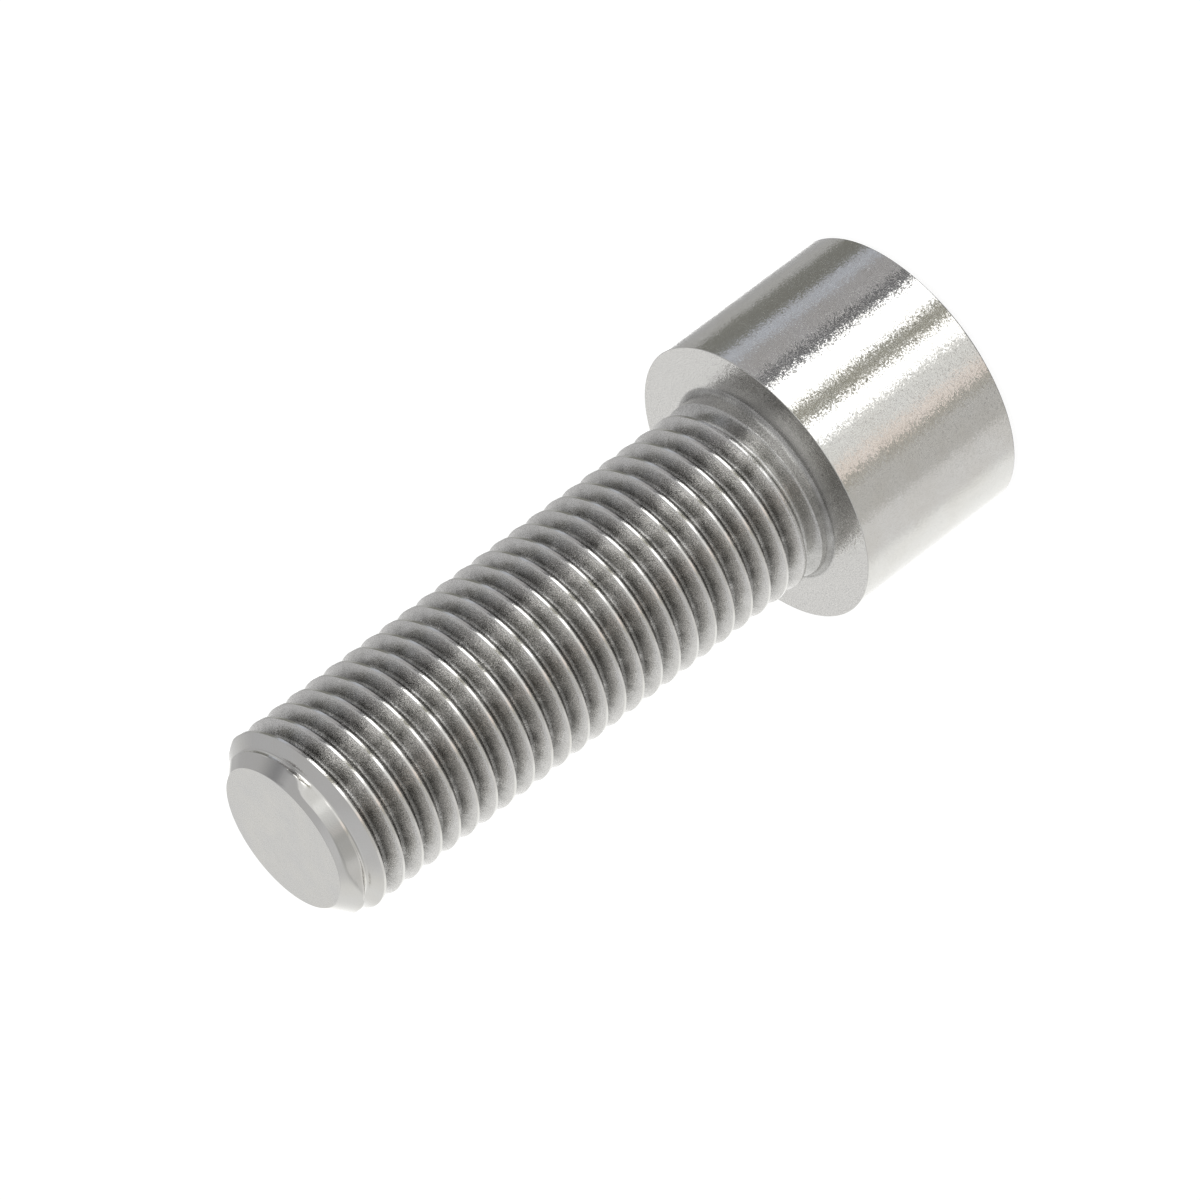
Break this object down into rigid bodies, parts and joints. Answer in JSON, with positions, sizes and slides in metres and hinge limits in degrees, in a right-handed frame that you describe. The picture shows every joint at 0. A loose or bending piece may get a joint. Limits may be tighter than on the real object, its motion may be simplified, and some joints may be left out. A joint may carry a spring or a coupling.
{
  "type": "cheese head screw",
  "caption": "Steel machine screw with a tall cylindrical head, a hexagon socket and a coarse metric thread along the whole shank.",
  "frame": {"origin": "centre of the head's end face, round the mouth of the socket, on which the screw stands", "axes": "+Z along the screw's axis from the head to the tip, -Y towards the side that the picture shows"},
  "size_m": [0.045, 0.045, 0.1205],
  "materials": {
    "steel": "satin stainless steel, bright on the head and slightly rougher in the thread"
  },
  "bodies": {
    "root": {"screw": "steel"}
  },
  "joints": []
}
